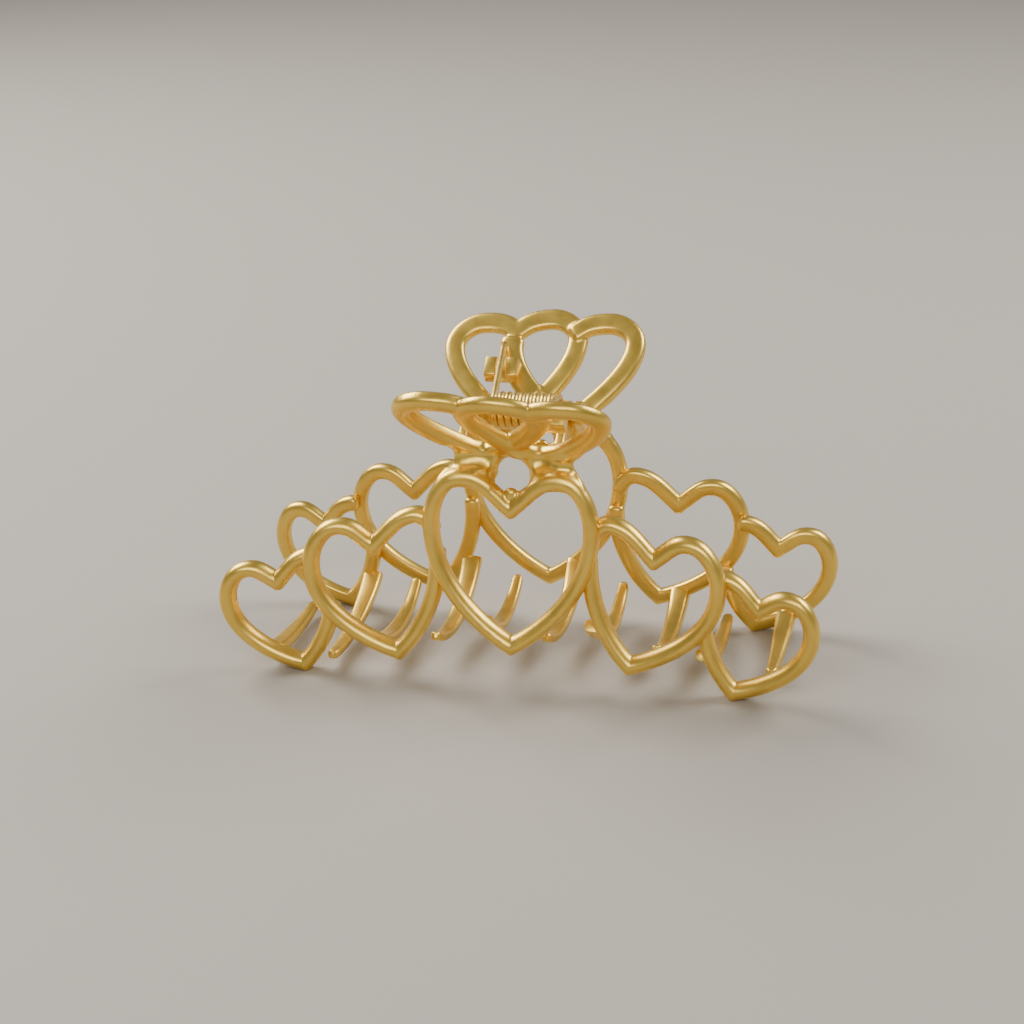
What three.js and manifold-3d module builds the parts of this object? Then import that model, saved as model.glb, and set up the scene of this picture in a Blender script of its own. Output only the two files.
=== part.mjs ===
// A sprung hair claw made of hearts: two identical cast jaws, turned half a turn from each other,
// swing on one pin with a torsion spring round it. Millimetres, Z up, the table at z = 0.
// X runs along the clip, the front jaw is on the -Y side, and the origin is midway between the jaws.
import * as THREE from "three";
import { mergeVertices } from "three/addons/utils/BufferGeometryUtils.js";
import Module from "manifold-3d";

const wasm = await Module();
wasm.setup();

// ---- Driving dimensions ----

const GAP = 0.3; // air left between neighbouring pieces
const TURN = Math.PI / 180;

// The bar that the jaw hearts are drawn with, and the wider, thinner one of the thumb hearts.
const JAW_BAR = { width: 3.1, depth: 3.6, rounding: 0.8, roundingDepth: 1.1 };
const THUMB_BAR = { width: 3.9, depth: 2.8, rounding: 0.9, roundingDepth: 0.8 };

// The run of a heart's outline, as fractions of its half width and its height.
const JAW_HEART = {
  tipReach: 0.45,
  tipRise: 0.12,
  flankRise: 0.37,
  shoulder: 0.71,
  roundness: 0.55,
  lobeTop: 0.62,
  lobeReach: 0.26,
  dipDepth: 0.185,
  dipReach: 0.28,
  dipSlope: 0.86,
};
const THUMB_HEART = {
  tipReach: 0.47,
  tipRise: 0.25,
  flankRise: 0.53,
  shoulder: 0.79,
  roundness: 0.52,
  lobeTop: 0.55,
  lobeReach: 0.24,
  dipDepth: 0.1,
  dipReach: 0.15,
  dipSlope: 0.9,
};

// The hearts of one jaw, right of the middle: their lower tips make an arch, and each outer
// heart lies further in than its neighbour. lean and bend tip the lobes outward.
const CENTER = { tipX: 0, tipZ: 8.2, halfWidth: 15, height: 31.5, lean: 0, bend: 0, inset: 0 };
const INNER = { tipX: 21.9, tipZ: 5.5, halfWidth: 12.1, height: 25.4, lean: 9.3, bend: 0.15, inset: 1.6 };
const OUTER = { tipX: 40.9, tipZ: 1.4, halfWidth: 10.1, height: 20.5, lean: 12.9, bend: 0.13, inset: 4 };

// The two thumb hearts of one jaw share a lobe: the full one, and the tucked one behind it.
const THUMB_FULL = { tipX: 4.9, tipZ: 0, halfWidth: 12.1, height: 22, lean: 5, bend: 0, inset: 0 };
const THUMB_TUCKED = { tipX: -5.4, tipZ: 0, halfWidth: 12.1, height: 21.5, lean: 1.3, bend: 0, inset: 0.4 };
const THUMB_FOOT = { out: 8.46, z: 41.9 }; // where the thumb hearts' tips meet the legs
const THUMB_FLARE = 43.4 * TURN; // how far the thumb hearts lean out from upright
const THUMB_CURL = 0.0045; // extra lean per mm squared, towards their tops

// The hinge: a pin through two ears of each jaw, with the spring wound round it between them.
const HINGE_Z = 48.3;
const PIN_RADIUS = 1.1;
const PIN_HEAD = { radius: 1.9, thickness: 0.8 };
const EAR = { radius: 2.3, thickness: 1.7, bore: 1.4 };
const EAR_NEAR = 7.2; // inner face of a jaw's near ear; its far ear is outside the other jaw's
const EAR_FAR = 9.4;
const LEG = { inner: 3, outer: 11.4 };

// The torsion spring, and the small forked clip on each thumb piece that keeps its end in place.
const SPRING = { wireRadius: 0.65, coilRadius: 2.9, halfLength: 6.3, turns: 9 };
const SPRING_END = { x: 7.9, out: 19, z: 55.5 };
const FORK = { x: 7.5, up: 10.4, width: 6.4, length: 3.9, floor: 0.8, lug: 1.4, height: 3.4 };

// The teeth of one jaw, from left to right: place, root height, tip height and reach.
const TEETH = [
  { name: "tooth_far_left", x: -47, heart: OUTER, rootZ: 3.6, tipZ: 2.4, tipY: 9 },
  { name: "tooth_left", x: -26.3, heart: INNER, rootZ: 7.2, tipZ: 7.6, tipY: 12.6 },
  { name: "tooth_middle", x: -5.8, heart: CENTER, rootZ: 12.4, tipZ: 9.1, tipY: 13.8 },
  { name: "tooth_right", x: 15.2, heart: INNER, rootZ: 12.2, tipZ: 8.4, tipY: 14.8 },
  { name: "tooth_far_right", x: 35.8, heart: OUTER, rootZ: 7.6, tipZ: 2.8, tipY: 14.8 },
];
const TOOTH = {
  rootWidth: 4,
  tipWidth: 2,
  rootThickness: 2.4,
  tipThickness: 1.7,
  sag: 5.2,
  lowest: 1.4,
};

// ---- Finishes ----

function gold(colour, roughness) {
  return new THREE.MeshStandardMaterial({ color: colour, roughness, metalness: 1 });
}

const SATIN_GOLD = gold(0xdcae5c, 0.36);
const INNER_GOLD = gold(0xc99a45, 0.42);
const SPRING_GOLD = gold(0xcfa65e, 0.3);
const PIN_GOLD = gold(0xd2a44e, 0.28);

// ---- Geometry and solids ----

// Moves each vertex of a geometry to where place() says, in the jaw's frame.
function warp(geometry, place) {
  const position = geometry.getAttribute("position");
  const point = new THREE.Vector3();
  for (let i = 0; i < position.count; i++) {
    point.fromBufferAttribute(position, i);
    const moved = place(point);
    position.setXYZ(i, moved.x, moved.y, moved.z);
  }
  return geometry;
}

function solidOf(geometry) {
  const bare = geometry.clone();
  bare.deleteAttribute("normal");
  bare.deleteAttribute("uv");
  const merged = mergeVertices(bare, 1e-4);
  const mesh = new wasm.Mesh({
    numProp: 3,
    vertProperties: merged.getAttribute("position").array,
    triVerts: new Uint32Array(merged.index.array),
  });
  return new wasm.Manifold(mesh);
}

function geometryOf(solid) {
  const mesh = solid.getMesh();
  const geometry = new THREE.BufferGeometry();
  geometry.setAttribute("position", new THREE.BufferAttribute(mesh.vertProperties, 3));
  geometry.setIndex(new THREE.BufferAttribute(mesh.triVerts, 1));
  geometry.computeVertexNormals();
  return geometry;
}

function largestBody(solid) {
  return solid.decompose().reduce((best, next) => (next.volume() > best.volume() ? next : best));
}

// ---- Hearts ----

const flat = (x, y) => new THREE.Vector2(x, y);

// The middle line of a heart's bar, counter-clockwise from its tip, in its own plane.
function heartLine(heart, style, divisions) {
  const w = heart.halfWidth;
  const h = heart.height;
  const shoulder = style.shoulder * h;
  const lobe = style.lobeTop * w;
  const dip = (1 - style.dipDepth) * h;
  const half = new THREE.CurvePath();
  half.add(
    new THREE.CubicBezierCurve(
      flat(0, 0),
      flat(style.tipReach * w, style.tipRise * h),
      flat(w, style.flankRise * h),
      flat(w, shoulder),
    ),
  );
  half.add(
    new THREE.CubicBezierCurve(
      flat(w, shoulder),
      flat(w, shoulder + style.roundness * (h - shoulder)),
      flat(lobe + style.roundness * (w - lobe), h),
      flat(lobe, h),
    ),
  );
  half.add(
    new THREE.CubicBezierCurve(
      flat(lobe, h),
      flat(lobe - style.lobeReach * w, h),
      flat(style.dipReach * w, dip + style.dipReach * style.dipSlope * w),
      flat(0, dip),
    ),
  );
  const right = half.getPoints(divisions);
  const left = right.slice(1, -1).reverse().map((p) => flat(-p.x, p.y));
  const tip = flat(heart.tipX, heart.tipZ);
  return [...right, ...left].map((p) => {
    const rise = p.y / h;
    const bent = flat(p.x + heart.bend * w * 4 * rise * (1 - rise), p.y);
    return bent.rotateAround(flat(0, 0), -heart.lean * TURN).add(tip);
  });
}

function mirrored(line) {
  return line.map((p) => flat(-p.x, p.y)).reverse();
}

// The same closed line moved outward by a distance, with its corners kept sharp.
function offset(line, distance) {
  return line.map((point, i) => {
    const before = line[(i + line.length - 1) % line.length];
    const after = line[(i + 1) % line.length];
    const arriving = point.clone().sub(before).normalize();
    const leaving = after.clone().sub(point).normalize();
    const normals = flat(arriving.y + leaving.y, -arriving.x - leaving.x);
    return normals.multiplyScalar(distance / (1 + arriving.dot(leaving))).add(point);
  });
}

// A heart as a bar with rounded edges, its middle at z = 0. grow makes it thicker all round.
function heartBar(line, bar, grow = 0) {
  const edge = bar.width / 2 - bar.rounding + grow;
  const shape = new THREE.Shape(offset(line, edge));
  shape.holes.push(new THREE.Path(offset(line, -edge)));
  const straight = bar.depth - 2 * bar.roundingDepth + 2 * grow;
  const geometry = new THREE.ExtrudeGeometry(shape, {
    depth: straight,
    bevelThickness: bar.roundingDepth,
    bevelSize: bar.rounding,
    bevelSegments: 1,
  });
  return geometry.translate(0, 0, -straight / 2);
}

// Everything inside a heart and its bar, as a slab that is deep enough to cut with.
function filledHeart(line, bar) {
  const slab = 60;
  const shape = new THREE.Shape(offset(line, bar.width / 2 + GAP));
  const geometry = new THREE.ExtrudeGeometry(shape, { depth: slab, bevelEnabled: false });
  return geometry.translate(0, 0, -slab / 2);
}

// ---- The front jaw's surfaces ----

// How far the jaw's skin stands out from the hinge plane: a shallow bowl that narrows upward.
function jawReach(x, z) {
  const up = z / 10;
  const along = x / 10;
  return 18.4 - 2.14 * up + 0.2 * up ** 2 + (0.07 + 0.06 * up) * along ** 2;
}

function onJaw(inset) {
  return (p) => new THREE.Vector3(p.x, inset - jawReach(p.x, p.y) - p.z, p.y);
}

// The thumb pieces lean out from the hinge and curl a little further towards their tops.
function onThumb(inset) {
  const sin = Math.sin(THUMB_FLARE);
  const cos = Math.cos(THUMB_FLARE);
  return (p) => {
    const out = p.z - inset;
    const reach = THUMB_FOOT.out + p.y * sin + THUMB_CURL * p.y ** 2 + out * cos;
    return new THREE.Vector3(p.x, -reach, THUMB_FOOT.z + p.y * cos - out * sin);
  };
}

// ---- Pieces of one jaw ----

function jawHearts() {
  const center = heartLine(CENTER, JAW_HEART, 5);
  const pieces = { center_heart: solidOf(warp(heartBar(center, JAW_BAR), onJaw(CENTER.inset))) };
  const insideCenter = solidOf(warp(filledHeart(center, JAW_BAR), onJaw(0)));
  const underTable = solidOf(new THREE.BoxGeometry(200, 200, 10).translate(0, 0, -5));
  for (const [side, turn] of [["right", (line) => line], ["left", mirrored]]) {
    const inner = turn(heartLine(INNER, JAW_HEART, 5));
    const outer = turn(heartLine(OUTER, JAW_HEART, 4));
    const insideInner = solidOf(warp(filledHeart(inner, JAW_BAR), onJaw(0)));
    const innerBar = solidOf(warp(heartBar(inner, JAW_BAR), onJaw(INNER.inset)));
    const outerBar = solidOf(warp(heartBar(outer, JAW_BAR), onJaw(OUTER.inset)));
    pieces["inner_heart_" + side] = largestBody(innerBar.subtract(insideCenter));
    pieces["outer_heart_" + side] = largestBody(outerBar.subtract(insideInner)).subtract(underTable);
  }
  return pieces;
}

function thumbHearts() {
  const full = heartLine(THUMB_FULL, THUMB_HEART, 4);
  const tucked = heartLine(THUMB_TUCKED, THUMB_HEART, 4);
  const fullBar = solidOf(warp(heartBar(full, THUMB_BAR), onThumb(0)));
  const tuckedBar = solidOf(warp(heartBar(tucked, THUMB_BAR), onThumb(THUMB_TUCKED.inset)));
  const insideFull = solidOf(warp(filledHeart(full, THUMB_BAR), onThumb(0)));
  const roundFull = solidOf(warp(heartBar(full, THUMB_BAR, GAP), onThumb(0)));
  return {
    thumb_heart_full: fullBar,
    thumb_heart_tucked: largestBody(tuckedBar.subtract(insideFull)),
    thumb_heart_bridge: largestBody(tuckedBar.intersect(insideFull).subtract(roundFull)),
  };
}

// Stands an outline drawn as (outward, up) across the hinge axis, from x = right towards -X.
function acrossHinge(right) {
  return (p) => new THREE.Vector3(right - p.z, -p.x, p.y);
}

// An ear: a plate across the hinge axis, rounded about the pin, reaching down to the leg.
function ear(right) {
  const foot = { out: 7.4, z: 41.6 };
  const length = Math.hypot(foot.out, HINGE_Z - foot.z);
  const shape = new THREE.Shape();
  shape.moveTo(0, EAR.radius);
  shape.absarc(0, 0, EAR.radius, Math.PI / 2, (3 * Math.PI) / 2, false);
  shape.lineTo(length, -EAR.radius);
  shape.lineTo(length, EAR.radius);
  shape.closePath();
  const bore = new THREE.Path();
  bore.absarc(0, 0, EAR.bore, 0, 2 * Math.PI, true);
  shape.holes.push(bore);
  const plate = new THREE.ExtrudeGeometry(shape, {
    depth: EAR.thickness,
    bevelEnabled: false,
    curveSegments: 10,
  });
  plate.rotateZ(Math.atan2(foot.z - HINGE_Z, foot.out)).translate(0, HINGE_Z, 0);
  return solidOf(warp(plate, acrossHinge(right)));
}

// A leg: the web that carries a thumb heart on a lobe of the centre heart, seen from its end.
function legWeb(right) {
  const profile = [
    [11.3, 41],
    [9.2, 41.7],
    [7.6, 43.2],
    [5.6, 41.3],
    [7.2, 39.1],
    [11.3, 37.2],
  ].map(([out, z]) => flat(out, z));
  const web = new THREE.ExtrudeGeometry(new THREE.Shape(profile), {
    depth: LEG.outer - LEG.inner,
    bevelEnabled: false,
  });
  return solidOf(warp(web, acrossHinge(right)));
}

function legs() {
  const center = solidOf(
    warp(heartBar(heartLine(CENTER, JAW_HEART, 5), JAW_BAR, GAP), onJaw(CENTER.inset)),
  );
  const full = solidOf(
    warp(heartBar(heartLine(THUMB_FULL, THUMB_HEART, 4), THUMB_BAR, GAP), onThumb(0)),
  );
  const tucked = solidOf(
    warp(
      heartBar(heartLine(THUMB_TUCKED, THUMB_HEART, 4), THUMB_BAR, GAP),
      onThumb(THUMB_TUCKED.inset),
    ),
  );
  const trimmed = (web, plate) =>
    largestBody(web.add(plate).subtract(center).subtract(full).subtract(tucked));
  return {
    leg_right: trimmed(legWeb(LEG.outer), ear(EAR_NEAR + EAR.thickness)),
    leg_left: trimmed(legWeb(-LEG.inner), ear(-EAR_FAR)),
  };
}

// A tooth: a blade from the inner side of its heart, sagging towards the middle of the clip and
// rising again to its tip, thinner and narrower towards the tip.
function tooth(spec) {
  const rootTop = spec.rootZ + TOOTH.rootThickness / 2;
  const rootY = spec.heart.inset + JAW_BAR.depth / 2 + GAP - jawReach(spec.x, rootTop);
  const lowest = Math.max(TOOTH.lowest, Math.min(spec.rootZ, spec.tipZ) - TOOTH.sag);
  const middle = new THREE.CubicBezierCurve(
    flat(rootY, spec.rootZ),
    flat(rootY + 8, lowest + 1),
    flat(spec.tipY - 8, lowest),
    flat(spec.tipY, spec.tipZ),
  );
  const steps = 7;
  const upper = [];
  const lower = [];
  for (let i = 0; i <= steps; i++) {
    const centre = middle.getPoint(i / steps);
    const half = THREE.MathUtils.lerp(TOOTH.rootThickness, TOOTH.tipThickness, i / steps) / 2;
    upper.unshift(flat(centre.x, centre.y + half));
    lower.push(flat(centre.x, centre.y - half));
  }
  const blade = new THREE.ExtrudeGeometry(new THREE.Shape([...lower, ...upper]), {
    depth: 1,
    bevelEnabled: false,
  });
  return warp(blade, (p) => {
    const t = (p.x - rootY) / (spec.tipY - rootY);
    const width = THREE.MathUtils.lerp(TOOTH.rootWidth, TOOTH.tipWidth, t);
    return new THREE.Vector3((p.z - 0.5) * width, p.x, p.y);
  });
}

// The forked clip: a floor plate with a lug at each side, its floor on the thumb piece's inner face.
function springFork() {
  const half = FORK.width / 2;
  const inside = half - FORK.lug;
  const profile = new THREE.Shape([
    flat(-half, 0),
    flat(half, 0),
    flat(half, FORK.height),
    flat(inside, FORK.height),
    flat(inside, FORK.floor),
    flat(-inside, FORK.floor),
    flat(-inside, FORK.height),
    flat(-half, FORK.height),
  ]);
  const fork = new THREE.ExtrudeGeometry(profile, { depth: FORK.length, bevelEnabled: false });
  return fork.translate(0, 0, -FORK.length / 2);
}

// Where the fork's floor rests, in the front jaw's frame.
function forkPlace() {
  const tilt = THUMB_FLARE + Math.atan(2 * THUMB_CURL * FORK.up * Math.cos(THUMB_FLARE));
  const skin = onThumb(THUMB_TUCKED.inset)(new THREE.Vector3(FORK.x, FORK.up, -THUMB_BAR.depth / 2));
  const lift = GAP;
  return {
    position: skin.add(new THREE.Vector3(0, lift * Math.cos(tilt), lift * Math.sin(tilt))),
    tilt,
  };
}

// ---- Assembly ----

function piece(name, geometry, material) {
  const mesh = new THREE.Mesh(geometry, material);
  mesh.name = name;
  return mesh;
}

function jaw(prefix) {
  const group = new THREE.Group();
  const solids = { ...jawHearts(), ...thumbHearts(), ...legs() };
  for (const [name, solid] of Object.entries(solids)) {
    group.add(piece(prefix + name, geometryOf(solid), SATIN_GOLD));
  }
  for (const spec of TEETH) {
    const blade = piece(prefix + spec.name, tooth(spec), INNER_GOLD);
    blade.position.x = spec.x;
    group.add(blade);
  }
  const fork = piece(prefix + "spring_fork", springFork(), INNER_GOLD);
  const { position, tilt } = forkPlace();
  fork.position.copy(position);
  fork.rotation.x = tilt;
  group.add(fork);
  return group;
}

// The pin, with a peened head at each end.
function hingePin() {
  const outermost = EAR_FAR + EAR.thickness;
  const shank = outermost + GAP;
  const end = shank + PIN_HEAD.thickness;
  const profile = [
    flat(0, -end),
    flat(PIN_HEAD.radius * 0.7, -end),
    flat(PIN_HEAD.radius, -end + 0.3),
    flat(PIN_HEAD.radius, -shank),
    flat(PIN_RADIUS, -shank),
    flat(PIN_RADIUS, shank),
    flat(PIN_HEAD.radius, shank),
    flat(PIN_HEAD.radius, end - 0.3),
    flat(PIN_HEAD.radius * 0.7, end),
    flat(0, end),
  ];
  const pin = piece("hinge_pin", new THREE.LatheGeometry(profile, 16), PIN_GOLD);
  pin.rotation.z = -Math.PI / 2;
  pin.position.z = HINGE_Z;
  return pin;
}

// The spring's wire: up from one thumb piece, round the pin, and out to the other thumb piece.
class SpringWire extends THREE.Curve {
  constructor() {
    super();
    const rise = SPRING_END.z - HINGE_Z;
    const span = Math.hypot(SPRING_END.out, rise);
    this.start = Math.atan2(rise, SPRING_END.out) + Math.acos(SPRING.coilRadius / span);
    this.wound = 2 * Math.PI * SPRING.turns + Math.PI - 2 * this.start;
    this.legLength = Math.sqrt(span ** 2 - SPRING.coilRadius ** 2);
    this.length = 2 * this.legLength + this.wound * SPRING.coilRadius;
  }

  getPoint(t, target = new THREE.Vector3()) {
    const here = t * this.length;
    const coiled = THREE.MathUtils.clamp((here - this.legLength) / SPRING.coilRadius, 0, this.wound);
    const angle = this.start + coiled;
    const x = THREE.MathUtils.lerp(-SPRING.halfLength, SPRING.halfLength, coiled / this.wound);
    target.set(x, SPRING.coilRadius * Math.cos(angle), HINGE_Z + SPRING.coilRadius * Math.sin(angle));
    const before = Math.max(0, this.legLength - here);
    const after = Math.max(0, here - (this.length - this.legLength));
    const straight = before - after;
    const lean = (SPRING_END.x - SPRING.halfLength) / this.legLength;
    target.x -= straight * lean;
    target.y += straight * Math.sin(angle);
    target.z -= straight * Math.cos(angle);
    return target;
  }
}

function torsionSpring() {
  const section = new THREE.Shape();
  section.absarc(0, 0, SPRING.wireRadius, 0, 2 * Math.PI, false);
  const wire = new THREE.ExtrudeGeometry(section, {
    steps: 90,
    curveSegments: 3,
    extrudePath: new SpringWire(),
  });
  return piece("torsion_spring", wire, SPRING_GOLD);
}

const clip = new THREE.Group();
const frontJaw = jaw("front_");
const rearJaw = jaw("rear_");
rearJaw.rotation.z = Math.PI;
clip.add(frontJaw, rearJaw, hingePin(), torsionSpring());

export default clip;
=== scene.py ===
import math

import bmesh
import bpy
from mathutils import Matrix, Vector


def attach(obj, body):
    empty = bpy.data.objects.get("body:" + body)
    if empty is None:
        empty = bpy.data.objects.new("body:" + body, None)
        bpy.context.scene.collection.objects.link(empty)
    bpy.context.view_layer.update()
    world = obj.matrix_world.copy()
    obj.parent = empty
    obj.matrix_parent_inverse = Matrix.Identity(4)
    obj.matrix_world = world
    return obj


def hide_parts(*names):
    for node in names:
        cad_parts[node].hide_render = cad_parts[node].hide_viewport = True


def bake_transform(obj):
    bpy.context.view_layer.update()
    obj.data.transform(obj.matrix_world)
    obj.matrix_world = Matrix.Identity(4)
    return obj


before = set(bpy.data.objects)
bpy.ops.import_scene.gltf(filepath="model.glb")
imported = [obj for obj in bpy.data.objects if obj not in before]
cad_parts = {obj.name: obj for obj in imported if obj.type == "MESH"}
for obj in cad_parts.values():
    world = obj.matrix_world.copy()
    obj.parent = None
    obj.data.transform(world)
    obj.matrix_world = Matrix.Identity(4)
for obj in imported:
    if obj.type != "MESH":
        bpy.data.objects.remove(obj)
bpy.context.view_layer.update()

MM = 0.001
WELD = 0.002  # points nearer than this are one
VOXEL = 0.22  # grain of the skin that joins the middle of a casting
CREASE, SHARP = math.radians(38), math.radians(42)  # edges softened, and edges shaded as sharp

# ---- Driving dimensions ----

JAW_HEART = dict(tip_reach=0.45, tip_rise=0.12, flank_rise=0.37, shoulder=0.71, roundness=0.55,
                 lobe_top=0.62, lobe_reach=0.26, dip_depth=0.185, dip_reach=0.28, dip_slope=0.86)
THUMB_HEART = dict(tip_reach=0.47, tip_rise=0.25, flank_rise=0.53, shoulder=0.79, roundness=0.52,
                   lobe_top=0.55, lobe_reach=0.24, dip_depth=0.1, dip_reach=0.15, dip_slope=0.9)

JAW_CORNER, THUMB_CORNER = 1.9, 2.3  # room kept round the tip and the dip of a heart
JAW_CURVE = dict(foot=18.4, slope=2.14, hollow=0.2, sweep=0.07, sweep_rise=0.06)

CENTER = dict(tip=(0, 8.2), half_width=15, height=31.5, lean=0, bend=0, inset=0)
INNER = dict(tip=(21.9, 5.5), half_width=12.1, height=25.4, lean=9.3, bend=0.15, inset=1.6)
OUTER = dict(tip=(40.9, 1.4), half_width=10.1, height=20.5, lean=12.9, bend=0.13, inset=4)
THUMB_FULL = dict(tip=(4.9, 0), half_width=12.1, height=22, lean=5, bend=0, inset=0)
THUMB_TUCKED = dict(tip=(-5.4, 0), half_width=12.1, height=21.5, lean=1.3, bend=0, inset=0.4)

THUMB_FOOT = dict(out=8.46, z=41.9)
THUMB_FLARE = math.radians(43.4)
THUMB_CURL = 0.0045
TUCKED_EDGE, BRIDGE_EDGE = 0.9, 1.2  # how far inside the full heart's line the tucked runs stop

HINGE_Z = 48.3
PIN_RADIUS = 1.1
PIN_HEAD = dict(radius=1.9, thickness=0.8, gap=0.3, rim=0.12, under=0.93, crown=0.92)
EAR = dict(radius=2.3, thickness=1.7, bore=1.3, near=7.2, far=9.4, foot_out=8.8, foot_z=41.6)
DRILL_REACH = 14

SPRING = dict(wire=0.66, coil=2.9, center=0.35, half_length=5.95, turns=9)
SPRING_END = dict(x=8.2, out=19, z=55.2)
SPRING_TIP = dict(length=0.15, size=0.75)
FORK = dict(x=7.5, up=10.4, width=6.8, length=3.9, floor=0.8, lug=2.4, height=3.4,
            seat=1.15, sink=0.2, draft=0.25, slot_draft=0.2)

# The web of a leg, from the thumb hearts down: out, z, inner and outer edges along X, thickness.
WEB = [
    (10.6, 43.7, 3.6, 9.6, 2.4),
    (9.8, 42.7, 3.1, 10.4, 2.6),
    (9.5, 41.7, 2.8, 10.9, 2.7),
    (10.0, 40.9, 2.8, 11.1, 2.7),
    (11.1, 40.5, 3.2, 11.5, 2.6),
    (12.5, 40.1, 4.2, 12.0, 2.5),
]

TEETH = {
    "far_left": dict(x=-47, inset=4, root_z=3.6, tip_z=2.4, tip_y=9),
    "left": dict(x=-26.3, inset=1.6, root_z=7.2, tip_z=7.6, tip_y=12.6),
    "middle": dict(x=-5.8, inset=0, root_z=12.4, tip_z=9.1, tip_y=13.8),
    "right": dict(x=15.2, inset=1.6, root_z=12.2, tip_z=8.4, tip_y=14.8),
    "far_right": dict(x=35.8, inset=4, root_z=7.6, tip_z=2.8, tip_y=14.8),
}
TOOTH = dict(root_width=4, tip_width=2, root_thickness=2.4, tip_thickness=1.7, sag=5.2, lowest=1.4,
             sink=0.4, reach=8, lift=1, squareness=3.4)
TOOTH_END = [(0.9, 1.0), (0.6, 0.93), (0.32, 0.78), (0.12, 0.58), (0, 0.4)]  # distance back, size
BAR_END = [(0.3, 0.93), (0.6, 0.75), (0.75, 0.5)]  # distance on, size

NUB = dict(place=(0.1, -13.3, 36.8), size=(1.3, 1.1, 1.5))
FILLET = 1.5  # radius of the inner corners between the hearts and the legs
LEG_BOX = dict(half_width=14, out=(6.5, 15), z=(37.8, 46), fade=2)
LEG_SMOOTHING = 45
LEG_SQUARENESS = 3

# The view: degrees round, above and rolled, the distance, the point looked at, and the lens.
CAMERA = dict(azimuth=14.04, elevation=21.18, roll=2.16, distance=424.3, aim=(-5.3, 8.5, 24.7),
              lens=77.34, sensor=36)

# ---- Mesh helpers: everything is a skin over rings of points ----


def lerp(a, b, t):
    return a + (b - a) * t


def turns(count):
    """Evenly spaced angles round a circle."""
    return [2 * math.pi * k / count for k in range(count)]


def skin(rings, closed=False):
    """A mesh over rings of equally many points: a closed loop of rings, or a run with flat ends."""
    mesh = bmesh.new()
    rows = [[mesh.verts.new(p) for p in ring] for ring in rings]
    if closed:
        rows.append(rows[0])
    for here, there in zip(rows, rows[1:]):
        for i in range(len(here)):
            j = (i + 1) % len(here)
            mesh.faces.new((here[i], here[j], there[j], there[i]))
    if not closed:
        mesh.faces.new(list(reversed(rows[0])))
        mesh.faces.new(rows[-1])
    bmesh.ops.remove_doubles(mesh, verts=mesh.verts, dist=WELD * MM)
    bmesh.ops.recalc_face_normals(mesh, faces=mesh.faces)
    return mesh


def make_object(name, mesh):
    data = bpy.data.meshes.new(name)
    mesh.to_mesh(data)
    mesh.free()
    data.shade_smooth()
    made = bpy.data.objects.new(name, data)
    bpy.context.scene.collection.objects.link(made)
    return made


def millimetres(points):
    return [Vector(p) * MM for p in points]


def rounded_section(width, outer, inner, power=2.0, inner_power=3.0, points=24):
    """(side, out) points of a bar: domed on its outer side and flatter on its inner side."""
    section = []
    for angle in turns(points):
        c, s = math.cos(angle), math.sin(angle)
        p = power if s >= 0 else inner_power
        side = math.copysign(abs(c) ** (2 / p), c) * width / 2
        out = math.copysign(abs(s) ** (2 / p), s) * (outer if s >= 0 else inner)
        section.append((side, out))
    return section


def finished(piece, bevel=0.12):
    """Softens the sharp creases of a piece a little, as plating does, and bakes the modifier in."""
    softener = piece.modifiers.new("edges", "BEVEL")
    softener.width = bevel * MM
    softener.segments = 2
    softener.limit_method = "ANGLE"
    softener.angle_limit = CREASE
    bake_modifiers(piece)
    piece.data.shade_smooth()
    piece.data.set_sharp_from_angle(angle=SHARP)
    return piece


def bake_modifiers(piece):
    bpy.context.view_layer.update()
    graph = bpy.context.evaluated_depsgraph_get()
    baked = bpy.data.meshes.new_from_object(piece.evaluated_get(graph))
    piece.modifiers.clear()
    piece.data = baked


# ---- Heart outlines ----


def bezier(a, b, c, d, steps):
    for i in range(steps):
        t = i / steps
        s = 1 - t
        yield a * s**3 + b * 3 * s * s * t + c * 3 * s * t * t + d * t**3


def along(path, distances):
    """Points at the given distances along a fine path of flat points."""
    found, travelled, i = [], 0.0, 0
    for distance in distances:
        while i < len(path) - 2 and travelled + (path[i + 1] - path[i]).length < distance:
            travelled += (path[i + 1] - path[i]).length
            i += 1
        step = path[i + 1] - path[i]
        found.append(path[i] + step * ((distance - travelled) / step.length))
    return found


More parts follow.
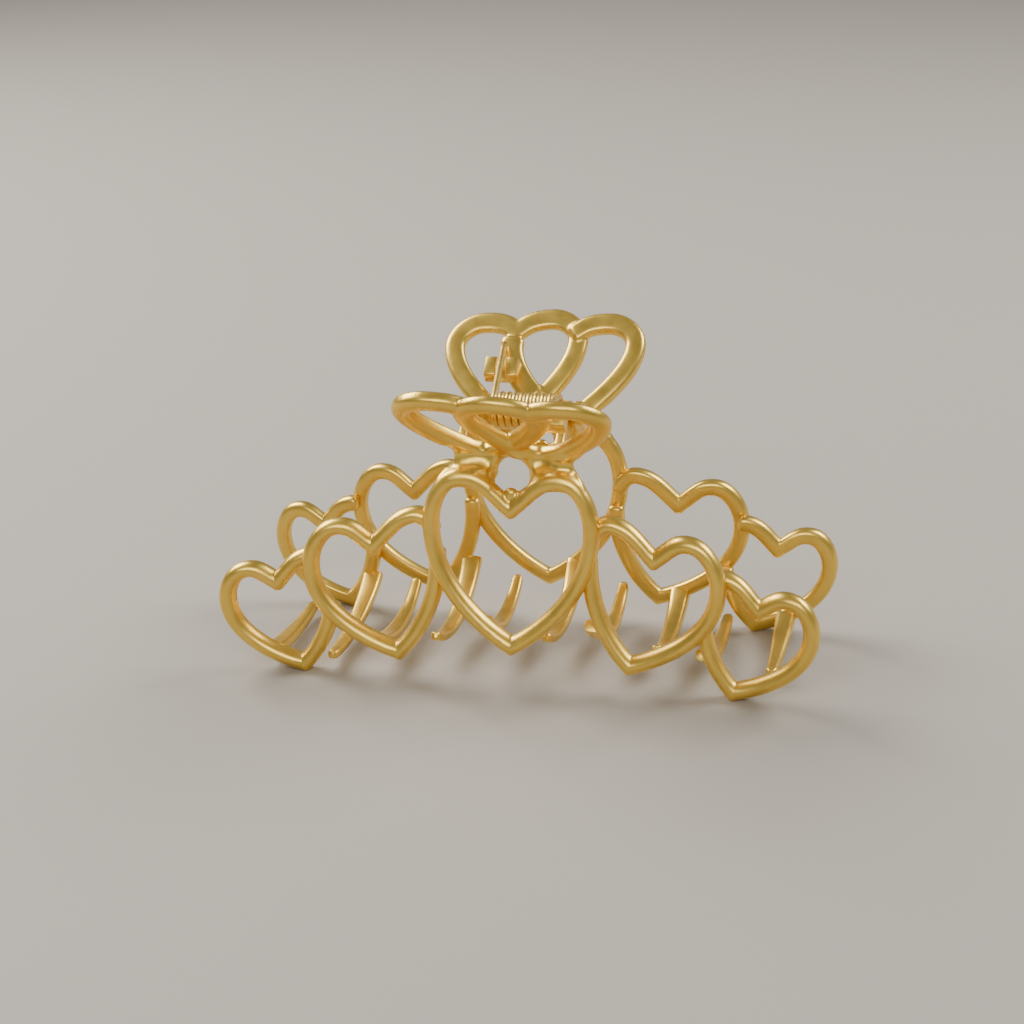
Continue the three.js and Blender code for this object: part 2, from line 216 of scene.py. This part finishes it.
def heart_line(heart, style, spacing=0.9, corner=JAW_CORNER):
    """The middle line of a heart's bar, counter-clockwise from its tip. No point but the corner
    itself lies within corner of the tip or the dip, so that a bar's inner side never folds."""
    w, h = heart["half_width"], heart["height"]
    shoulder, lobe = style["shoulder"] * h, style["lobe_top"] * w
    dip, turn = (1 - style["dip_depth"]) * h, style["roundness"]
    tip_handle = Vector((style["tip_reach"] * w, style["tip_rise"] * h))
    dip_handle = Vector((style["dip_reach"] * w, dip + style["dip_reach"] * style["dip_slope"] * w))
    wide, top, low = Vector((w, shoulder)), Vector((lobe, h)), Vector((0, dip))
    fine = list(bezier(Vector((0, 0)), tip_handle, Vector((w, style["flank_rise"] * h)), wide, 80))
    above = Vector((w, shoulder + turn * (h - shoulder)))
    fine += bezier(wide, above, Vector((lobe + turn * (w - lobe), h)), top, 40)
    fine += bezier(top, Vector((lobe - style["lobe_reach"] * w, h)), dip_handle, low, 40)
    fine.append(low)
    length = sum((b - a).length for a, b in zip(fine, fine[1:]))
    count = round((length - 2 * corner) / spacing)
    stops = [lerp(corner, length - corner, i / count) for i in range(count + 1)]
    right = [fine[0]] + along(fine, stops) + [low]
    left = [Vector((-p.x, p.y)) for p in reversed(right[1:-1])]
    lean = Matrix.Rotation(-math.radians(heart["lean"]), 2)
    line = []
    for p in right + left:
        rise = p.y / h
        bent = Vector((p.x + heart["bend"] * w * 4 * rise * (1 - rise), p.y))
        line.append(lean @ bent + Vector(heart["tip"]))
    return line


def mirrored(line):
    return [Vector((-p.x, p.y)) for p in reversed(line)]


def inside(point, outline):
    """True if a flat point lies within a closed outline."""
    crossings = 0
    for a, b in zip(outline, outline[1:] + outline[:1]):
        if (a.y > point.y) != (b.y > point.y):
            if point.x < a.x + (b.x - a.x) * (point.y - a.y) / (b.y - a.y):
                crossings += 1
    return crossings % 2 == 1


def longest_run(line, kept):
    """The longest run of a closed line whose points are all kept."""
    best = []
    for start in range(len(line)):
        if kept(line[start - 1]):
            continue
        run = []
        while kept(line[(start + len(run)) % len(line)]):
            run.append(line[(start + len(run)) % len(line)])
        if len(run) > len(best):
            best = run
    return best


def shrunk(line, distance):
    """A closed line drawn inside another at the given distance."""
    smaller = []
    for before, point, after in zip(line[-1:] + line, line, line[1:] + line[:1]):
        arriving, leaving = (point - before).normalized(), (after - point).normalized()
        inward = Vector((-arriving.y - leaving.y, arriving.x + leaving.x)) / (1 + arriving.dot(leaving))
        smaller.append(point + inward * distance)
    return smaller


def corner_sides(arriving, leaving):
    """Pairs of across directions at a point of a bar: one for the outside of the bend, one for the
    inside. A sharp corner fans round its outside, and keeps a crisp mitre on its inside."""
    mitre = Vector((arriving.y + leaving.y, -arriving.x - leaving.x)) / (1 + arriving.dot(leaving))
    turn = math.atan2(arriving.x * leaving.y - arriving.y * leaving.x, arriving.dot(leaving))
    if abs(turn) < math.radians(25):
        return [(mitre, mitre)]
    normal = Vector((arriving.y, -arriving.x))
    fan = []
    for k in range(7):
        full = 1 + 0.1 * math.sin(math.pi * k / 6)
        rotated = Matrix.Rotation(turn * k / 6, 2) @ normal * full
        fan.append((rotated, mitre) if turn > 0 else (mitre, rotated))
    return fan


def end_caps(point, side, outward):
    """The shrinking rings that round off an open end of a bar."""
    return [(point + outward * on, side, side, size) for on, size in BAR_END]


def bar(line, section, place, closed=True):
    """A bar with the given section along a flat line, laid in space by place(x, y, out)."""
    stations = []
    count = len(line)
    for i, point in enumerate(line):
        before = line[i - 1] if closed or i else point * 2 - line[1]
        after = line[(i + 1) % count] if closed or i < count - 1 else point * 2 - line[-2]
        arriving, leaving = (point - before).normalized(), (after - point).normalized()
        stations += [(point, right, left, 1) for right, left in corner_sides(arriving, leaving)]
    if not closed:
        start, finish = (line[0] - line[1]).normalized(), (line[-1] - line[-2]).normalized()
        opening = reversed(end_caps(line[0], stations[0][1], start))
        stations = list(opening) + stations + end_caps(line[-1], stations[-1][1], finish)
    rings = []
    for point, right, left, size in stations:
        ring = []
        for side, out in section:
            across = (right if side > 0 else left) * side * size
            ring.append(place(point.x + across.x, point.y + across.y, out * size))
        rings.append(millimetres(ring))
    return skin(rings, closed)


# ---- The front jaw's surfaces ----


def jaw_reach(x, z):
    """How far the jaw's surface stands out from the clip's middle plane. It leans in as it rises,
    and sweeps out towards the ends. The curve's figures are per centimetre."""
    up, across = z / 10, x / 10
    middle = JAW_CURVE["foot"] - JAW_CURVE["slope"] * up + JAW_CURVE["hollow"] * up**2
    return middle + (JAW_CURVE["sweep"] + JAW_CURVE["sweep_rise"] * up) * across**2


def on_jaw(inset):
    """Lays flat points (x, z) on the jaw's surface, or inset from it."""
    return lambda x, z, out: (x, inset - jaw_reach(x, z) - out, z)


def on_thumb(inset):
    """Lays flat points (x, up) on the flared and slightly curled thumb surface, or inset from it."""
    sin, cos = math.sin(THUMB_FLARE), math.cos(THUMB_FLARE)

    def place(x, up, out):
        reach = THUMB_FOOT["out"] + up * sin + THUMB_CURL * up**2 + (out - inset) * cos
        return (x, -reach, THUMB_FOOT["z"] + up * cos - (out - inset) * sin)

    return place


# ---- Pieces of one jaw ----

JAW_SECTION = rounded_section(width=3.1, outer=1.9, inner=1.6, inner_power=2.8)
THUMB_SECTION = rounded_section(width=3.9, outer=1.6, inner=1.25, power=2.2, inner_power=3.2)
TUCKED_SECTION = rounded_section(width=3.9, outer=1.5, inner=1.7, power=2.2, inner_power=3.4)
BRIDGE_SECTION = rounded_section(width=4.6, outer=1.5, inner=1.4, power=2.2, inner_power=3.4)


def legs():
    """The webs from the thumb hearts' tips to the lobes of the centre heart, and the hinge ears."""
    made = []
    for mirror in (1, -1):
        rings = []
        for i, (out, z, near, far, thickness) in enumerate(WEB):
            before, after = WEB[max(i - 1, 0)], WEB[min(i + 1, len(WEB) - 1)]
            run = Vector((after[0] - before[0], after[1] - before[1])).normalized()
            half = thickness / 2
            ring = []
            for side, depth in rounded_section(far - near, half, half, LEG_SQUARENESS, LEG_SQUARENESS):
                x = mirror * ((near + far) / 2 + side)
                ring.append((x, -out + run.y * depth, z + run.x * depth))
            rings.append(millimetres(ring))
        made.append(skin(rings))
    for left in (EAR["near"], -EAR["far"] - EAR["thickness"]):
        made.append(ear(left))
    return made


def ear(left):
    """A plate across the hinge axis, round about the pin, reaching down into the leg."""
    foot = Vector((EAR["foot_out"], EAR["foot_z"] - HINGE_Z))
    slope, radius = math.atan2(foot.y, foot.x), EAR["radius"]
    outline = []
    for k in range(13):
        angle = math.pi / 2 + math.pi * k / 12
        outline.append(Vector((radius * math.cos(angle), radius * math.sin(angle))))
    outline += [Vector((foot.length, -radius)), Vector((foot.length, radius))]
    turned = [Matrix.Rotation(slope, 2) @ p for p in outline]
    rings = []
    for x in (left, left + EAR["thickness"]):
        rings.append(millimetres((x, -p.x, HINGE_Z + p.y) for p in turned))
    return skin(rings)


def nub():
    """The small stub left on the centre heart's dip."""
    mesh = bmesh.new()
    bmesh.ops.create_uvsphere(mesh, u_segments=16, v_segments=10, radius=MM)
    bmesh.ops.scale(mesh, verts=mesh.verts, vec=NUB["size"])
    bmesh.ops.translate(mesh, verts=mesh.verts, vec=Vector(NUB["place"]) * MM)
    return mesh


def crown():
    """The middle of the casting in one skin with soft fillets: centre heart, legs, thumb hearts."""
    center = heart_line(CENTER, JAW_HEART)
    parts = [bar(center, JAW_SECTION, on_jaw(CENTER["inset"])), nub(), *thumb_hearts(), *legs()]
    whole = bmesh.new()
    for part in parts:
        data = bpy.data.meshes.new("part")
        part.to_mesh(data)
        part.free()
        whole.from_mesh(data)
        bpy.data.meshes.remove(data)
    piece = make_object("front_crown_casting", whole)
    fuse(piece)
    smooth(piece, 4)
    swell(piece, FILLET)
    fuse(piece)
    swell(piece, -FILLET)
    smooth(piece, 5)
    smooth(piece, LEG_SMOOTHING, piece.vertex_groups["legs"])
    bore(piece)
    piece.data.shade_smooth()
    return piece


def fuse(piece):
    """Rebuilds a piece as one skin over all of its parts."""
    join = piece.modifiers.new("fuse", "REMESH")
    join.mode = "VOXEL"
    join.voxel_size = VOXEL * MM
    bake_modifiers(piece)


def swell(piece, distance):
    """Moves the skin at the legs along its normals. Out, fused and back in again rounds the deep
    inner corners between hearts and legs, and leaves everything else as it was."""
    piece.vertex_groups.clear()
    legs_group = piece.vertex_groups.new(name="legs")
    for vertex in piece.data.vertices:
        weight = leg_weight(vertex.co / MM)
        if weight > 0:
            legs_group.add([vertex.index], weight, "REPLACE")
    push = piece.modifiers.new("swell", "DISPLACE")
    push.strength = distance * MM
    push.mid_level = 0
    push.vertex_group = legs_group.name
    bake_modifiers(piece)
    smooth(piece, 6, legs_group)


def leg_weight(point):
    """1 at the legs, fading to 0 at the sides of a box round them."""
    x, out, z = abs(point.x), -point.y, point.z
    near, far = LEG_BOX["out"]
    bottom, top = LEG_BOX["z"]
    margin = min(LEG_BOX["half_width"] - x, out - near, far - out, z - bottom, top - z)
    return min(1, max(0, margin / LEG_BOX["fade"]))


def smooth(piece, iterations, group=None):
    soften = piece.modifiers.new("soften", "SMOOTH")
    soften.factor = 0.5
    soften.iterations = iterations
    if group:
        soften.vertex_group = group.name
    bake_modifiers(piece)


def thumb_hearts():
    """The full heart, and the two runs of the tucked one: beside the full heart and across it."""
    full = heart_line(THUMB_FULL, THUMB_HEART, corner=THUMB_CORNER)
    tucked = heart_line(THUMB_TUCKED, THUMB_HEART, corner=THUMB_CORNER)
    hole = shrunk(full, BRIDGE_EDGE)
    band = shrunk(full, TUCKED_EDGE)
    beside = longest_run(tucked, lambda p: not inside(p, band))
    across = longest_run(tucked, lambda p: inside(p, hole))
    return [
        bar(full, THUMB_SECTION, on_thumb(THUMB_FULL["inset"])),
        bar(beside, TUCKED_SECTION, on_thumb(THUMB_TUCKED["inset"]), closed=False),
        bar(across, BRIDGE_SECTION, on_thumb(THUMB_TUCKED["inset"]), closed=False),
    ]


def bore(piece):
    """Drills the ears for the pin."""
    ring = [(EAR["bore"] * math.cos(a), EAR["bore"] * math.sin(a)) for a in turns(40)]
    ends = [[(x, y, HINGE_Z + z) for y, z in ring] for x in (-DRILL_REACH, DRILL_REACH)]
    drill = make_object("drill", skin([millimetres(end) for end in ends]))
    cut = piece.modifiers.new("bore", "BOOLEAN")
    cut.object = drill
    cut.operation = "DIFFERENCE"
    cut.solver = "EXACT"
    bake_modifiers(piece)
    bpy.data.objects.remove(drill)


def side_hearts():
    """The inner and outer hearts, each ending behind its neighbour's bar."""
    center = heart_line(CENTER, JAW_HEART)
    made = {}
    for side, turn in (("right", lambda line: line), ("left", mirrored)):
        inner = turn(heart_line(INNER, JAW_HEART))
        outer = turn(heart_line(OUTER, JAW_HEART))
        for name, heart, line, neighbour in (
            ("inner", INNER, inner, center),
            ("outer", OUTER, outer, inner),
        ):
            run = longest_run(line, lambda p: not inside(p, neighbour))
            mesh = bar(run, JAW_SECTION, on_jaw(heart["inset"]), closed=False)
            if name == "outer":
                cut_below_table(mesh)
            node = f"{name}_heart_{side}"
            made[node] = finished(make_object(f"front_{node}_bar", mesh))
    return made


def cut_below_table(mesh):
    """Flattens a heart's tip where it stands on the table."""
    everything = list(mesh.verts) + list(mesh.edges) + list(mesh.faces)
    cut = bmesh.ops.bisect_plane(
        mesh, geom=everything, plane_co=(0, 0, 0), plane_no=(0, 0, -1), clear_outer=True
    )
    rim = [g for g in cut["geom_cut"] if isinstance(g, bmesh.types.BMEdge)]
    bmesh.ops.contextual_create(mesh, geom=rim)


def tooth(name, spec):
    """A curved blade from the inner side of its heart, thinner and narrower towards its tip."""
    root_top = spec["root_z"] + TOOTH["root_thickness"] / 2
    root_y = spec["inset"] + TOOTH["sink"] - jaw_reach(spec["x"], root_top)
    lowest = max(TOOTH["lowest"], min(spec["root_z"], spec["tip_z"]) - TOOTH["sag"])
    run = [
        Vector((root_y, spec["root_z"])),
        Vector((root_y + TOOTH["reach"], lowest + TOOTH["lift"])),
        Vector((spec["tip_y"] - TOOTH["reach"], lowest)),
        Vector((spec["tip_y"], spec["tip_z"])),
    ]
    steps = 26
    centres = list(bezier(*run, steps)) + [run[-1]]
    ahead = (centres[-1] - centres[-2]).normalized()
    stations = [(c, i / steps, 1.0) for i, c in enumerate(centres[:-1])]
    stations += [(run[-1] - ahead * back, 1.0, size) for back, size in TOOTH_END]
    rings = []
    for i, (centre, t, size) in enumerate(stations):
        if i + 1 < len(stations):
            heading = (stations[i + 1][0] - centre).normalized()
        width = lerp(TOOTH["root_width"], TOOTH["tip_width"], t) * size
        half = lerp(TOOTH["root_thickness"], TOOTH["tip_thickness"], t) / 2 * (0.4 + 0.6 * size)
        ring = []
        for side, up in rounded_section(width, half, half, TOOTH["squareness"], TOOTH["squareness"], 20):
            ring.append((spec["x"] + side, centre.x - heading.y * up, centre.y + heading.x * up))
        rings.append(millimetres(ring))
    return finished(make_object(f"front_tooth_{name}_blade", skin(rings)))


def spring_fork():
    """The small forked clip on the thumb piece's inner face, which keeps the spring's leg in place."""
    half, height, floor = FORK["width"] / 2, FORK["height"], FORK["floor"]
    slot = half - FORK["lug"]
    top, foot_of_slot = half - FORK["draft"], slot - FORK["slot_draft"]
    profile = [
        (-half, 0), (half, 0), (top, height), (slot, height),
        (foot_of_slot, floor), (-foot_of_slot, floor), (-slot, height), (-top, height),
    ]
    tilt = THUMB_FLARE + math.atan(2 * THUMB_CURL * FORK["up"] * math.cos(THUMB_FLARE))
    base = Vector(on_thumb(THUMB_TUCKED["inset"])(FORK["x"], FORK["up"], -FORK["seat"]))
    up = Vector((0, -math.sin(tilt), math.cos(tilt)))
    inward = Vector((0, math.cos(tilt), math.sin(tilt)))
    rings = []
    for end in (-0.5, 0.5):
        foot = base + up * end * FORK["length"]
        rings.append(
            millimetres(foot + Vector((x, 0, 0)) + inward * (y - FORK["sink"]) for x, y in profile)
        )
    return finished(make_object("front_spring_fork_clip", skin(rings)), 0.2)


# ---- Hinge ----


def spring_path():
    """The wire's middle line: a leg along the rear thumb piece, the coil, and the front leg."""
    rise = SPRING_END["z"] - HINGE_Z
    span = math.hypot(SPRING_END["out"], rise)
    start = math.atan2(rise, SPRING_END["out"]) + math.acos(SPRING["coil"] / span)
    wound = 2 * math.pi * SPRING["turns"] + math.pi - 2 * start
    leg = math.sqrt(span**2 - SPRING["coil"] ** 2)
    path = []

    def add(angle, x, straight):
        end = math.copysign(SPRING_END["x"], -straight)
        lean = (end - x) / leg
        radius = SPRING["coil"]
        y = radius * math.cos(angle) + straight * math.sin(angle)
        z = HINGE_Z + radius * math.sin(angle) - straight * math.cos(angle)
        path.append(Vector((x + abs(straight) * lean, y, z)))

    left, right = (SPRING["center"] + side * SPRING["half_length"] for side in (-1, 1))
    leg_steps, coil_steps = 10, SPRING["turns"] * 36
    for i in range(leg_steps):
        add(start, left, leg * (1 - i / leg_steps))
    for i in range(coil_steps + 1):
        t = i / coil_steps
        add(start + wound * t, lerp(left, right, t), 0)
    for i in range(1, leg_steps + 1):
        add(start + wound, right, -leg * i / leg_steps)
    return path


def torsion_spring():
    """The wire round its path, with a small chamfer at each cut end."""
    path = spring_path()
    stations = [(p, 1.0) for p in path]
    first, last = (path[0] - path[1]).normalized(), (path[-1] - path[-2]).normalized()
    on, size = SPRING_TIP["length"], SPRING_TIP["size"]
    stations = [(path[0] + first * on, size)] + stations + [(path[-1] + last * on, size)]
    rings = []
    side = Vector((1, 0, 0))
    for i, (point, size) in enumerate(stations):
        before, after = stations[max(i - 1, 0)][0], stations[min(i + 1, len(stations) - 1)][0]
        heading = (after - before).normalized()
        side = (side - heading * side.dot(heading)).normalized()
        up = heading.cross(side)
        radius = SPRING["wire"] * size
        ring = []
        for angle in turns(14):
            ring.append(point + side * radius * math.cos(angle) + up * radius * math.sin(angle))
        rings.append(millimetres(ring))
    return make_object("torsion_spring_wire", skin(rings))


def hinge_pin():
    """The pin with a domed, peened head at each end."""
    shank = EAR["far"] + EAR["thickness"] + PIN_HEAD["gap"]
    radius, thickness, rim = PIN_HEAD["radius"], PIN_HEAD["thickness"], PIN_HEAD["rim"]
    head = [(shank, PIN_RADIUS), (shank, radius * PIN_HEAD["under"]), (shank + rim, radius)]
    for k in range(1, 7):
        angle = math.pi / 2 * k / 7
        bulge = rim + (thickness - rim) * math.sin(angle)
        head.append((shank + bulge, radius * math.cos(angle * PIN_HEAD["crown"])))
    profile = [(-x, r) for x, r in reversed(head)] + head
    rings = []
    for x, r in profile:
        rings.append(
            millimetres((x, r * math.cos(a), HINGE_Z + r * math.sin(a)) for a in turns(40))
        )
    return finished(make_object("hinge_pin_peened", skin(rings)), 0.05)


# ---- Materials ----


def satin_gold(name, tint, roughness, grain=0.05):
    """Satin gold plating: even tone with faint clouding, a fine cast grain and brighter worn edges."""
    material = bpy.data.materials.new(name)
    material.use_nodes = True
    nodes, links = material.node_tree.nodes, material.node_tree.links
    shader = nodes["Principled BSDF"]
    shader.inputs["Metallic"].default_value = 1.0
    place = nodes.new("ShaderNodeTexCoord")

    def noise(scale, detail):
        texture = nodes.new("ShaderNodeTexNoise")
        texture.inputs["Scale"].default_value = scale
        texture.inputs["Detail"].default_value = detail
        links.new(place.outputs["Object"], texture.inputs["Vector"])
        return texture.outputs["Fac"]

    def span(source, low, high, to_low, to_high):
        ranged = nodes.new("ShaderNodeMapRange")
        ranged.inputs["From Min"].default_value = low
        ranged.inputs["From Max"].default_value = high
        ranged.inputs["To Min"].default_value = to_low
        ranged.inputs["To Max"].default_value = to_high
        links.new(source, ranged.inputs["Value"])
        return ranged.outputs["Result"]

    cloudy = nodes.new("ShaderNodeMix")
    cloudy.data_type = "RGBA"
    cloudy.inputs["A"].default_value = (*[c * 0.93 for c in tint], 1)
    cloudy.inputs["B"].default_value = (*[min(1, c * 1.05) for c in tint], 1)
    links.new(span(noise(180, 3), 0.35, 0.65, 0, 1), cloudy.inputs["Factor"])

    geometry = nodes.new("ShaderNodeNewGeometry")
    edges = span(geometry.outputs["Pointiness"], 0.55, 0.68, 0, 0.3)
    worn = nodes.new("ShaderNodeMix")
    worn.data_type = "RGBA"
    worn.inputs["B"].default_value = (*[min(1, c * 1.15 + 0.05) for c in tint], 1)
    links.new(edges, worn.inputs["Factor"])
    links.new(cloudy.outputs["Result"], worn.inputs["A"])
    links.new(worn.outputs["Result"], shader.inputs["Base Color"])

    patchy = span(noise(420, 4), 0.3, 0.7, roughness - 0.04, roughness + 0.05)
    links.new(patchy, shader.inputs["Roughness"])

    bump = nodes.new("ShaderNodeBump")
    bump.inputs["Strength"].default_value = grain
    bump.inputs["Distance"].default_value = 0.15 * MM
    links.new(noise(2600, 3), bump.inputs["Height"])
    links.new(bump.outputs["Normal"], shader.inputs["Normal"])
    return material


def painted(piece, material):
    """Gives a piece its only material."""
    piece.data.materials.clear()
    piece.data.materials.append(material)
    return piece


# ---- Assembly ----


def half_turn(piece, name):
    """The rear jaw's copy of a piece: the same casting turned half a turn about Z."""
    data = piece.data.copy()
    data.transform(Matrix.Rotation(math.pi, 4, "Z"))
    copy = bpy.data.objects.new(name, data)
    bpy.context.scene.collection.objects.link(copy)
    return copy


def on_both_jaws(piece, nodes, material):
    """Puts a piece of the front jaw on its body, and its turned copy on the rear jaw."""
    painted(piece, material)
    rear = painted(half_turn(piece, piece.name.replace("front_", "rear_")), material)
    for made, jaw in ((piece, "front"), (rear, "rear")):
        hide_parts(*[f"{jaw}_{node}" for node in nodes])
        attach(made, f"{jaw}_jaw")


def build_clip():
    cast = satin_gold("satin_gold_casting", (0.9, 0.61, 0.115), 0.34)
    wire = satin_gold("gold_spring_wire", (0.84, 0.6, 0.16), 0.32, 0.01)
    steel = satin_gold("gold_pin", (0.84, 0.57, 0.12), 0.27, 0.02)
    crown_nodes = ["center_heart", "leg_left", "leg_right"]
    crown_nodes += ["thumb_heart_full", "thumb_heart_tucked", "thumb_heart_bridge"]
    on_both_jaws(crown(), crown_nodes, cast)
    for node, piece in side_hearts().items():
        on_both_jaws(piece, [node], cast)
    for name, spec in TEETH.items():
        on_both_jaws(tooth(name, spec), [f"tooth_{name}"], cast)
    on_both_jaws(spring_fork(), ["spring_fork"], cast)

    pin = painted(hinge_pin(), steel)
    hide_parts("hinge_pin")
    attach(pin, "front_jaw")

    spring = painted(torsion_spring(), wire)
    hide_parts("torsion_spring")
    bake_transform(spring)


# ---- Studio ----


def studio_floor():
    material = bpy.data.materials.new("pale_floor")
    material.use_nodes = True
    shader = material.node_tree.nodes["Principled BSDF"]
    shader.inputs["Base Color"].default_value = (0.43, 0.395, 0.345, 1)
    shader.inputs["Roughness"].default_value = 0.7
    mesh = bmesh.new()
    bmesh.ops.create_grid(mesh, x_segments=1, y_segments=1, size=3)
    floor = make_object("studio_floor", mesh)
    floor.data.materials.append(material)


def soft_light(name, place, size, power, colour=(1, 1, 1)):
    lamp = bpy.data.lights.new(name, "AREA")
    lamp.shape = "RECTANGLE"
    lamp.size, lamp.size_y = size
    lamp.energy = power
    lamp.color = colour
    made = bpy.data.objects.new(name, lamp)
    made.location = place
    aim = Vector((0, 0, 0.03)) - made.location
    made.rotation_euler = aim.to_track_quat("-Z", "Y").to_euler()
    bpy.context.scene.collection.objects.link(made)


def studio_lights():
    soft_light("window", (-0.62, 0.3, 0.6), (0.6, 0.45), 10, (1, 0.98, 0.95))
    soft_light("back_right", (0.55, 0.35, 0.55), (0.45, 0.35), 5)
    soft_light("front", (0.1, -0.75, 0.6), (0.8, 0.3), 4, (1, 0.97, 0.92))
    world = bpy.data.worlds.new("studio_world")
    bpy.context.scene.world = world
    world.use_nodes = True
    sky = world.node_tree.nodes["Background"]
    sky.inputs["Color"].default_value = (0.75, 0.73, 0.7, 1)
    sky.inputs["Strength"].default_value = 0.36


def camera():
    """The viewpoint: a little to the right of straight on, and looking down."""
    azimuth, elevation = math.radians(CAMERA["azimuth"]), math.radians(CAMERA["elevation"])
    back = Vector((
        math.sin(azimuth) * math.cos(elevation),
        -math.cos(azimuth) * math.cos(elevation),
        math.sin(elevation),
    ))
    level = Vector((math.cos(azimuth), math.sin(azimuth), 0))
    up = back.cross(level)
    turned = Matrix((level, up, back)).transposed() @ Matrix.Rotation(
        -math.radians(CAMERA["roll"]), 3, "Z"
    )
    lens = bpy.data.cameras.new("camera")
    lens.sensor_width = CAMERA["sensor"]
    lens.lens = CAMERA["lens"]
    lens.clip_start = 0.01
    made = bpy.data.objects.new("camera", lens)
    bpy.context.scene.collection.objects.link(made)
    place = (Vector(CAMERA["aim"]) + back * CAMERA["distance"]) * MM
    made.matrix_world = Matrix.Translation(place) @ turned.to_4x4()
    bpy.context.scene.camera = made


camera()
build_clip()
studio_floor()
studio_lights()
